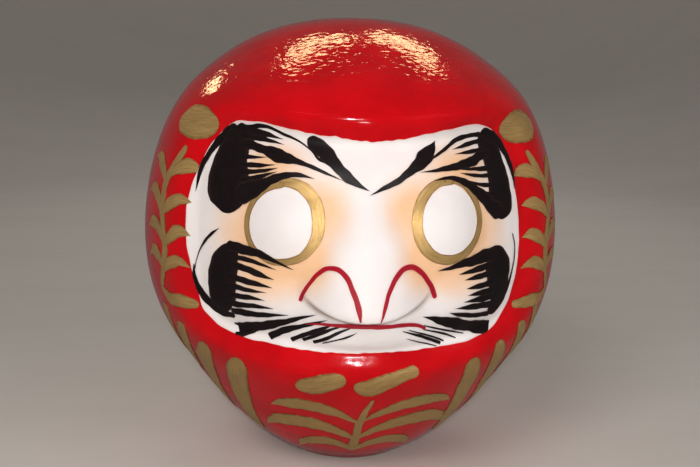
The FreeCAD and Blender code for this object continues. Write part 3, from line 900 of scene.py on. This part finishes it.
# ---- Gold ribs and sprays -------------------------------------------------
BELLY_RIBS = [
    [(-154, 119, 3), (-155.5, 114, 4.6), (-158, 106, 4.8), (-163, 94, 3.6), (-169, 82, 1.6)],
    [(-133, 110.5, 4), (-138.5, 103, 5.8), (-146, 92, 5.8), (-156, 79, 4.4), (-166, 66, 1.8)],
    [(-112, 101.5, 4.4), (-121, 92, 7), (-133, 79, 7.4), (-143, 65, 6.4), (-153, 49, 4.4),
     (-162, 36, 1.4)],
    [(-84, 97, 4.8), (-92, 87, 7.4), (-101, 74, 8), (-110.5, 59, 7.6), (-121, 41, 6.2),
     (-131, 26, 3.4)],
    [(76, 97.5, 4.6), (84, 86, 7), (92, 72, 7.8), (102, 54, 7.2), (113, 36, 5.8), (123, 24, 3)],
    [(97.5, 105, 4.2), (107, 92, 6.4), (117, 79, 6.8), (130, 62, 5.8), (142, 46, 4.2),
     (152, 34, 1.6)],
    [(118.5, 113.5, 4), (126, 103, 6), (135, 91, 6), (147, 76, 4.8), (158, 62, 2)],
    [(133, 124.5, 3), (139, 114, 4.6), (147, 101, 4.6), (157, 86, 3), (164, 76, 1.2)],
]
BELLY_SPRAY = [
    [(-47, 82, 4), (-37, 83.5, 7.8), (-25, 86.5, 7.4), (-12, 90.5, 3.8)],
    [(-6, 86, 4), (4, 83.5, 7.6), (16, 87, 6.4), (27, 91.5, 5), (37, 94, 4)],
    [(-3, 17, 3.6), (-1, 32, 3), (1, 46, 2.6), (4, 60, 2.1), (9, 73, 1)],
    [(-78, 60, 0), (-66, 63.5, 4), (-50, 65.5, 6.2), (-33, 64, 6), (-16, 58, 3.6), (0, 49, 1)],
    [(-102, 37, 0), (-86, 43.5, 4.6), (-64, 47, 7.2), (-41, 46, 7), (-20, 40, 4.2), (-1, 31, 1)],
    [(-80, 17, 0), (-63, 24.5, 4.2), (-44, 28, 6.2), (-24, 26.5, 5.2), (-4, 18, 1.2)],
    [(84, 61, 0), (71, 65.5, 4), (54, 67.5, 6.2), (36, 66, 6), (19, 60, 3.6), (3, 51, 1)],
    [(101, 38, 0), (87, 45, 4.8), (66, 49, 7.4), (43, 48, 7.2), (20, 42, 4.4), (0, 32, 1)],
    [(80, 17, 0), (63, 25, 4.4), (43, 29, 6.4), (21, 27, 5.2), (-1, 18, 1.2)],
]
SIDE_SPRAY = [
    [(-149, 232.5, 5), (-140, 232, 9), (-129, 232.5, 10.6), (-117, 233, 9.4), (-108, 234, 5)],
    [(-133, 219, 1.6), (-139, 208, 3), (-146, 196, 3.4), (-148, 183, 3.6), (-144, 170, 3.6),
     (-141, 157, 3.6), (-144, 144, 3.4), (-151, 130, 2)],
    [(-146, 194, 1), (-154, 203, 3.8), (-164, 209, 4.4), (-176, 210, 0)],
    [(-143, 199, 1), (-136, 205, 3.8), (-127, 208, 4.2), (-117, 206, 0)],
    [(-149, 178, 1), (-156, 186, 3.8), (-166, 190, 4.4), (-178, 188, 0)],
    [(-147, 176, 1), (-139, 183, 3.8), (-130, 187.5, 4), (-121, 187, 0)],
    [(-142, 160, 1), (-150, 167, 3.8), (-160, 170, 4.4), (-172, 166, 0)],
    [(-142, 158, 1), (-134, 165, 3.8), (-127, 168.5, 3.8), (-119, 167, 0)],
    [(-143, 143, 1), (-151, 150, 3.8), (-160, 152, 4.2), (-170, 147, 0)],
    [(-144, 141, 1), (-136, 148, 3.6), (-128, 150.5, 3.6), (-119, 147, 0)],
    [(-152, 130, 2.4), (-143, 125.5, 4), (-130, 125.5, 4.4), (-115, 124, 2.6)],
]


def gold_marks():
    pieces = []
    for points in BELLY_RIBS:
        pieces.append(brush_stroke("gold_stroke", points, GOLD_PROUD, unsteady=0.1))
    sprays = list(BELLY_SPRAY) + list(SIDE_SPRAY)
    for points in SIDE_SPRAY:
        sprays.append([(-across - 4, up, half) for across, up, half in points])
    for points in sprays:
        proud = GOLD_PROUD + STROKE_STEP * (len(pieces) - len(BELLY_RIBS))
        pieces.append(brush_stroke("gold_stroke", points, proud, unsteady=0.14))
    finish_paint(pieces, "gold_ribs_and_sprays", gold_paint)


painted_face()
black_strokes()
crimson_lines()
gold_marks()

# ---- Floor, lights and camera ---------------------------------------------
FLOOR_SIZE = 8.0
FLOOR_CELLS = 90
SWEEP_START = 1.5
SWEEP_RADIUS = 1.2


def studio_sweep():
    """A floor that curves up all round the doll without an edge."""
    bpy.ops.object.select_all(action="DESELECT")
    bpy.ops.mesh.primitive_grid_add(
        x_subdivisions=FLOOR_CELLS, y_subdivisions=FLOOR_CELLS, size=FLOOR_SIZE
    )
    piece = start_piece("studio_floor")
    flat = coordinates(piece)
    away = np.hypot(flat[:, 0], flat[:, 1])
    run = np.maximum(away - SWEEP_START, 0)
    turn = np.minimum(run / SWEEP_RADIUS, math.pi / 2)
    out = np.minimum(away, SWEEP_START) + SWEEP_RADIUS * np.sin(turn)
    flat[:, :2] *= (out / np.maximum(away, 1e-6))[:, None]
    flat[:, 2] = SWEEP_RADIUS * (1 - np.cos(turn)) + np.maximum(run - SWEEP_RADIUS * math.pi / 2, 0)
    place_vertices(piece, flat)
    bpy.ops.object.shade_smooth()
    piece.data.materials.append(studio_floor)
    piece.visible_glossy = False


studio_sweep()

CAMERA_TURN = math.radians(-4.3)
CAMERA_BACK = 0.6076
CAMERA_HEIGHT = 0.2665
CAMERA_PITCH = math.radians(10.76)
CAMERA_ROLL = math.radians(1.0)
FILM_WIDTH = 36
LENS = 44.68
camera_data = bpy.data.cameras.new("camera")
camera_data.sensor_width = FILM_WIDTH
camera_data.lens = LENS
camera = bpy.data.objects.new("camera", camera_data)
bpy.context.scene.collection.objects.link(camera)
camera.location = (
    CAMERA_BACK * math.sin(CAMERA_TURN),
    -CAMERA_BACK * math.cos(CAMERA_TURN),
    CAMERA_HEIGHT,
)
aim = Matrix.Rotation(CAMERA_TURN, 3, "Z") @ Matrix.Rotation(math.pi / 2 - CAMERA_PITCH, 3, "X")
camera.rotation_euler = (aim @ Matrix.Rotation(CAMERA_ROLL, 3, "Z")).to_euler()
bpy.context.scene.camera = camera

MIDDLE = (0, 0, 0.15)
# name, place, what it aims at, size, power, colour, the rays that pass it by
SOFT_LIGHTS = (
    ("key", (-0.55, -1.0, 1.05), MIDDLE, 0.6, 6.8, (1, 0.97, 0.95), "glossy"),
    ("fill", (0.95, -1.0, 0.6), MIDDLE, 0.8, 4.5, (0.98, 0.98, 1), "glossy"),
    ("back", (0.1, 1.35, 1.15), (0, 0.1, 0.15), 0.9, 3.8, (1, 0.98, 0.95), "glossy"),
    ("flash", (-0.05, -0.64, 0.3), MIDDLE, 0.03, 1.4, (1, 1, 1), None),
    ("low_glint", (0.02, -0.62, 0.055), (0, 0, 0.1), 0.02, 0.25, (1, 1, 1), "diffuse"),
)
# Warm room lamps that only glint in the crown's wrinkles: name, place, width, depth, power.
CROWN_LAMPS = (
    ("lamp_left", (-0.18, 0.72, 1.42), 0.44, 0.2, 2.8),
    ("lamp_right", (0.36, 0.75, 1.3), 0.46, 0.2, 2.8),
    ("lamp_side", (-0.82, 0.9, 0.98), 0.34, 0.16, 1.7),
)
CROWN = (0, -0.06, 0.27)
LAMP_COLOUR = (1, 0.74, 0.38)


def soft_light(name, place, aim, size, power, colour, passed_by):
    light = bpy.data.lights.new(name, "AREA")
    light.energy = power
    light.size = size
    light.color = colour
    lamp = bpy.data.objects.new(name, light)
    bpy.context.scene.collection.objects.link(lamp)
    lamp.location = place
    lamp.rotation_euler = (Vector(aim) - Vector(place)).to_track_quat("-Z", "Y").to_euler()
    if passed_by:
        setattr(lamp, "visible_" + passed_by, False)
    return light


for settings in SOFT_LIGHTS:
    soft_light(*settings)
for name, place, wide, deep, power in CROWN_LAMPS:
    light = soft_light(name, place, CROWN, wide, power, LAMP_COLOUR, "diffuse")
    light.shape = "RECTANGLE"
    light.size_y = deep
world = bpy.data.worlds.new("studio")
world.use_nodes = True
background = world.node_tree.nodes["Background"]
background.inputs["Color"].default_value = (0.9, 0.88, 0.85, 1)
background.inputs["Strength"].default_value = 0.14
bpy.context.scene.world = world
bpy.context.scene.view_settings.view_transform = "Standard"
